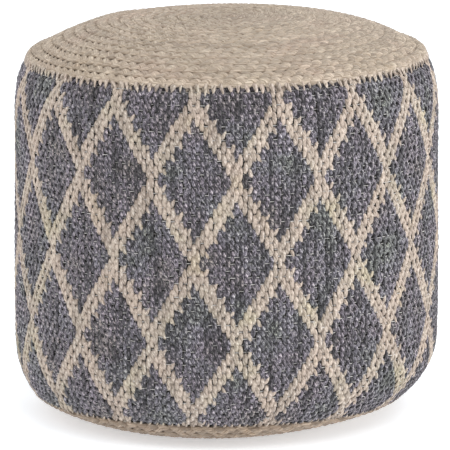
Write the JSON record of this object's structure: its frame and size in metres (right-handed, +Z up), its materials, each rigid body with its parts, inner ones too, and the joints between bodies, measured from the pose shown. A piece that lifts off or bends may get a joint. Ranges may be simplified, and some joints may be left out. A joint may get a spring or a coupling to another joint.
{
  "type": "jute pouf",
  "caption": "Round stuffed drum seat: a woven side with a diamond trellis between a domed top and a flat base of coiled jute braid.",
  "frame": {"origin": "middle of the drum at floor level", "axes": "+Z up through the crown of the braided top, -Y towards the front that the picture shows"},
  "size_m": [0.4582, 0.4594, 0.4294],
  "materials": {
    "woven_cloth": "coarse hand-woven heather grey yarn with a natural trellis",
    "jute_braid": "natural braided jute, dry, slightly silky strands"
  },
  "bodies": {
    "root": {"woven_side": "woven_cloth", "braided_top": "jute_braid", "braided_base": "jute_braid"}
  },
  "joints": []
}
